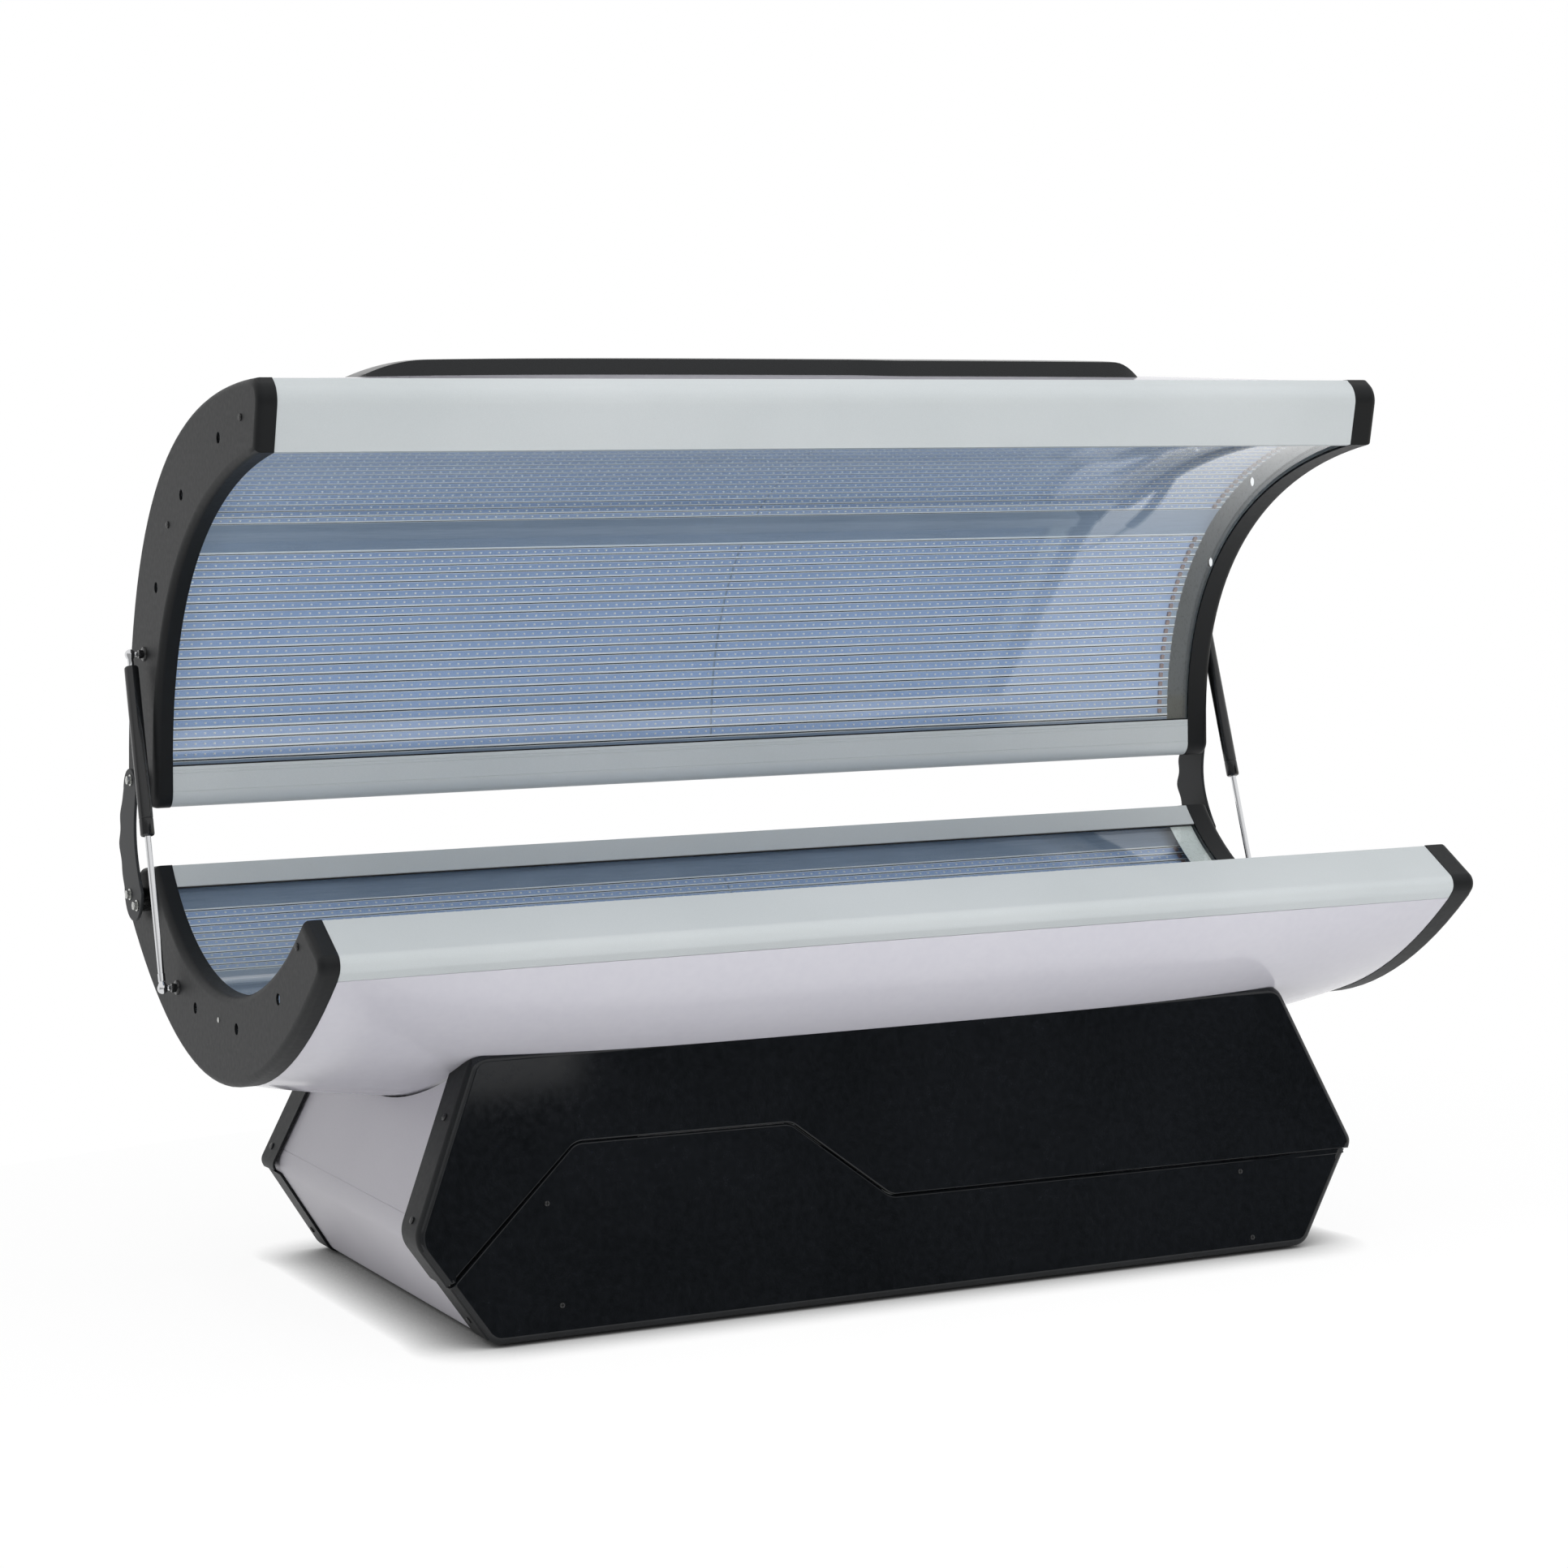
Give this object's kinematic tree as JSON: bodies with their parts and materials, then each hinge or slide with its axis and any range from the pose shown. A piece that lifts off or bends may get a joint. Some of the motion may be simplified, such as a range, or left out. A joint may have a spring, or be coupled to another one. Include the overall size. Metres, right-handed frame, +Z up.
{
  "type": "led light therapy bed",
  "caption": "Clamshell LED therapy bed: curved lamp tub on a panelled base with a hinged curved canopy above it, held open by gas struts at both ends.",
  "frame": {"origin": "middle of the bounding box at floor level, canopy raised", "axes": "+X along the bed to the viewer's right, +Y to the back where the hinges are, +Z up"},
  "size_m": [2.071, 1.0031, 1.4693],
  "materials": {
    "black_gloss_abs": "gloss moulded black ABS",
    "white_gloss_abs": "gloss white ABS",
    "white_painted_sheet": "white powder-coated sheet",
    "satin_aluminium": "satin anodised extrusion",
    "clear_acrylic": "clear polished sheet",
    "lamp_tray_aluminium": "LED boards on ribbed aluminium",
    "dark_painted_steel": "dark satin paint",
    "frame_aluminium": "dark painted bar",
    "bright_chrome": "bright plate",
    "zinc_steel": "zinc plate",
    "black_rubber": "matt",
    "equipment_case": "grey case"
  },
  "bodies": {
    "bed": {"base_equipment_tray": "frame_aluminium", "base_frame": "frame_aluminium", "base_front_cover": "black_gloss_abs", "base_front_service_cover": "black_gloss_abs", "base_left_cradle": "frame_aluminium", "base_left_panel": "white_painted_sheet", "base_rear_cover": "black_gloss_abs", "base_rear_service_cover": "black_gloss_abs", "base_right_cradle": "frame_aluminium", "base_right_panel": "white_painted_sheet", "control_unit": "equipment_case", "foot_front_left": "black_rubber", "foot_front_right": "black_rubber", "foot_rear_left": "black_rubber", "foot_rear_right": "black_rubber", "left_arm_bolt_1": "bright_chrome", "left_arm_bolt_2": "bright_chrome", "left_arm_spacer_1": "zinc_steel", "left_arm_spacer_2": "zinc_steel", "left_hinge_arm": "dark_painted_steel", "left_lower_ball_stud": "bright_chrome", "lower_acrylic": "clear_acrylic", "lower_front_rail": "satin_aluminium", "lower_led_tray": "lamp_tray_aluminium", "lower_left_cap": "black_gloss_abs", "lower_left_former": "frame_aluminium", "lower_rear_rail": "satin_aluminium", "lower_right_cap": "black_gloss_abs", "lower_right_former": "frame_aluminium", "lower_shell": "white_gloss_abs", "power_supply_left": "equipment_case", "power_supply_right": "equipment_case", "right_arm_bolt_1": "bright_chrome", "right_arm_bolt_2": "bright_chrome", "right_arm_spacer_1": "zinc_steel", "right_arm_spacer_2": "zinc_steel", "right_hinge_arm": "dark_painted_steel", "right_lower_ball_stud": "bright_chrome"},
    "canopy": {"canopy_acrylic": "clear_acrylic", "canopy_front_rail": "satin_aluminium", "canopy_led_tray": "lamp_tray_aluminium", "canopy_left_cap": "black_gloss_abs", "canopy_left_former": "frame_aluminium", "canopy_rear_rail": "satin_aluminium", "canopy_right_cap": "black_gloss_abs", "canopy_right_former": "frame_aluminium", "canopy_shell": "white_gloss_abs", "canopy_top_cover": "black_gloss_abs", "left_pivot_bolt": "bright_chrome", "left_pivot_spacer": "zinc_steel", "left_upper_ball_stud": "bright_chrome", "right_pivot_bolt": "bright_chrome", "right_pivot_spacer": "zinc_steel", "right_upper_ball_stud": "bright_chrome"},
    "left_cylinder": {"left_strut_cylinder": "dark_painted_steel"},
    "left_rod": {"left_strut_rod": "bright_chrome"},
    "right_cylinder": {"right_strut_cylinder": "dark_painted_steel"},
    "right_rod": {"right_strut_rod": "bright_chrome"}
  },
  "joints": [
    {"name": "canopy_hinge", "type": "hinge", "parent": "bed", "child": "canopy", "pos_m": [0, 0.3967, 0.788], "axis": [1, 0, 0], "range_deg": [0, 50]},
    {"name": "left_rod_swing", "type": "hinge", "parent": "bed", "child": "left_rod", "pos_m": [-1.024, 0.2047, 0.474], "axis": [1, 0, 0], "range_deg": [0, 16.5]},
    {"name": "left_cylinder_swing", "type": "hinge", "parent": "canopy", "child": "left_cylinder", "pos_m": [-1.024, 0.3827, 0.993], "axis": [1, 0, 0], "range_deg": [-35, 0]},
    {"name": "right_rod_swing", "type": "hinge", "parent": "bed", "child": "right_rod", "pos_m": [1.024, 0.2047, 0.474], "axis": [1, 0, 0], "range_deg": [0, 16.5]},
    {"name": "right_cylinder_swing", "type": "hinge", "parent": "canopy", "child": "right_cylinder", "pos_m": [1.024, 0.3827, 0.993], "axis": [1, 0, 0], "range_deg": [-35, 0]}
  ],
  "couplings": [
    {"joint": "left_rod_swing", "follows": "canopy_hinge", "ratio": 0.318},
    {"joint": "left_cylinder_swing", "follows": "canopy_hinge", "ratio": -0.682},
    {"joint": "right_rod_swing", "follows": "canopy_hinge", "ratio": 0.318},
    {"joint": "right_cylinder_swing", "follows": "canopy_hinge", "ratio": -0.682}
  ]
}
